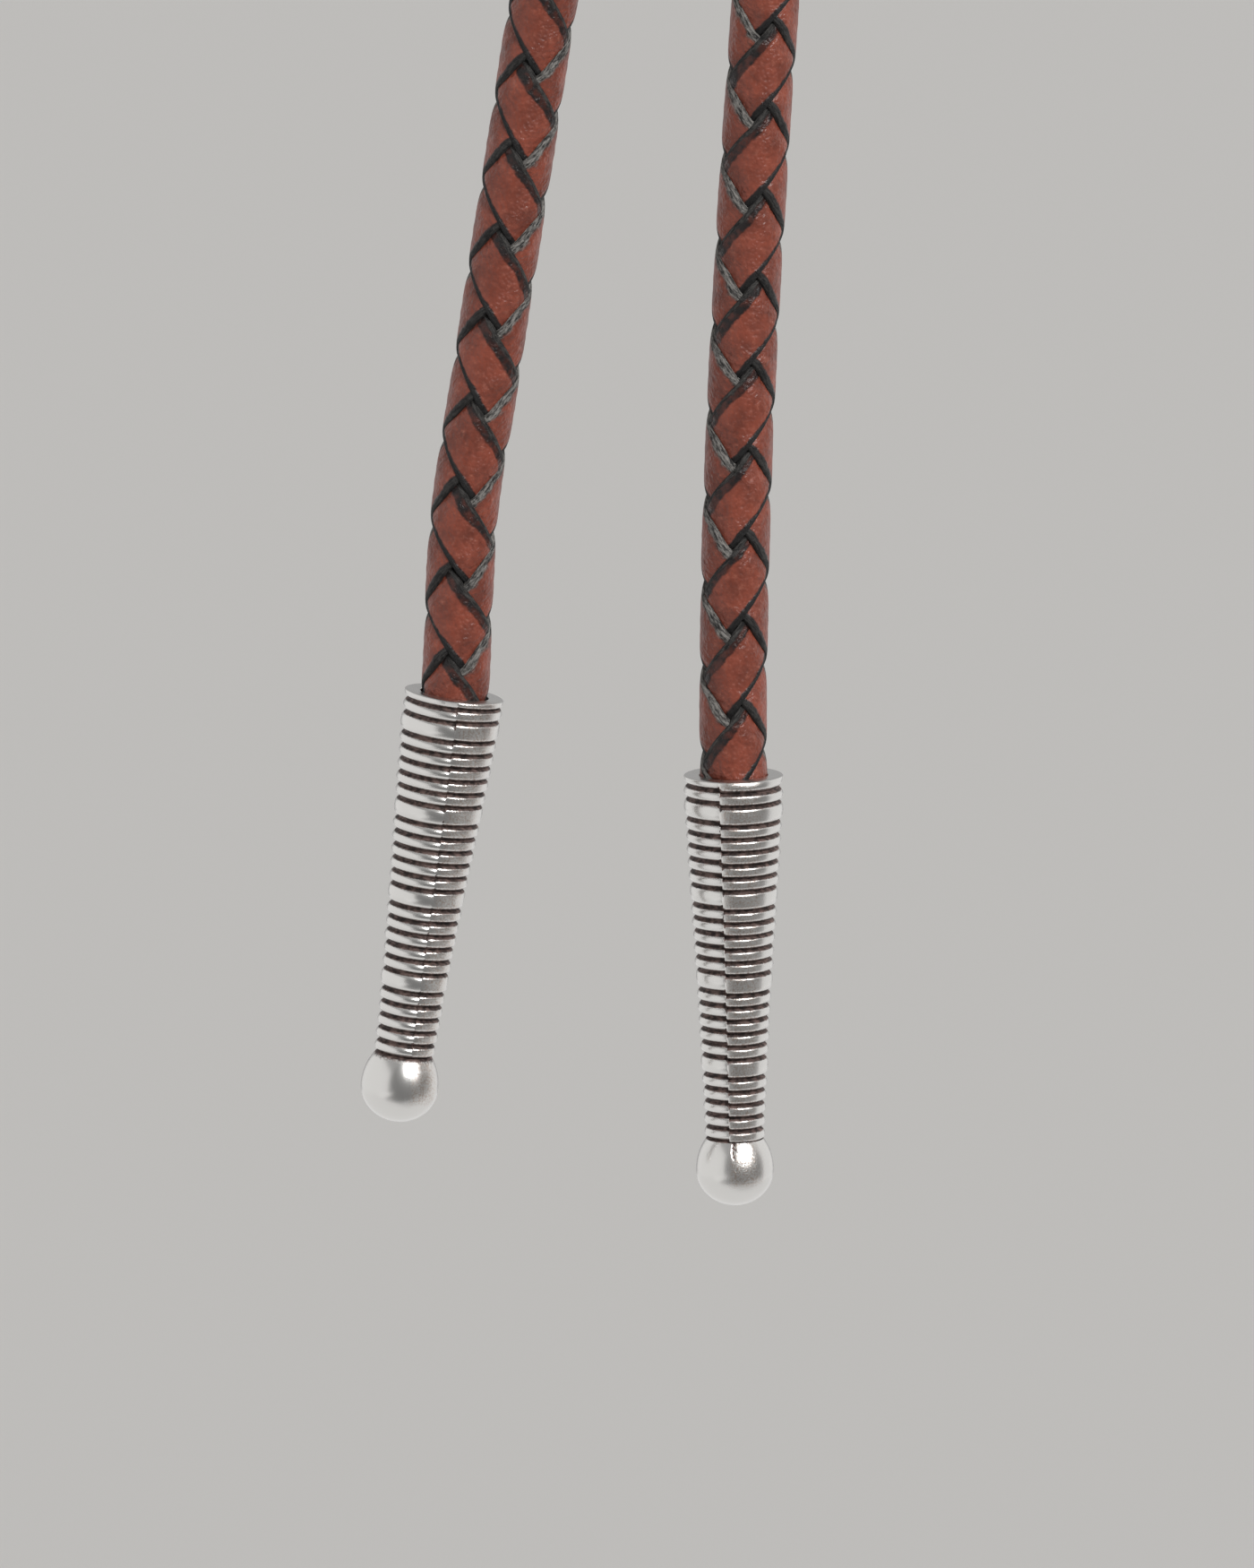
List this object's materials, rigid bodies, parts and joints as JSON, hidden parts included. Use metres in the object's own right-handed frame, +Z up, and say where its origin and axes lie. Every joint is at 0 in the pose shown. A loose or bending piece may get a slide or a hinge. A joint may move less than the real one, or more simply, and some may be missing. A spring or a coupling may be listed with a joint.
{
  "type": "bolo tie",
  "caption": "Round braided leather cord worn as a necktie, gathered by a plain metal slide and finished with ringed metal tips ending in balls.",
  "frame": {"origin": "the middle of the cord where it crosses the back of the wearer's neck, on the cord's centreline", "axes": "+Z up, the wearer faces -Y, and +X is to the right for a viewer in front"},
  "size_m": [0.1331, 0.1297, 0.4222],
  "materials": {
    "braided_leather": "reddish brown cowhide lace, semi-matt grain face, black painted edges",
    "antique_silver": "silver-plated cast zinc, satin brushed, dark brown patina in the grooves"
  },
  "bodies": {
    "root": {"braided_cord": "braided_leather", "slide": "antique_silver", "tip_left": "antique_silver", "tip_right": "antique_silver"}
  },
  "joints": []
}
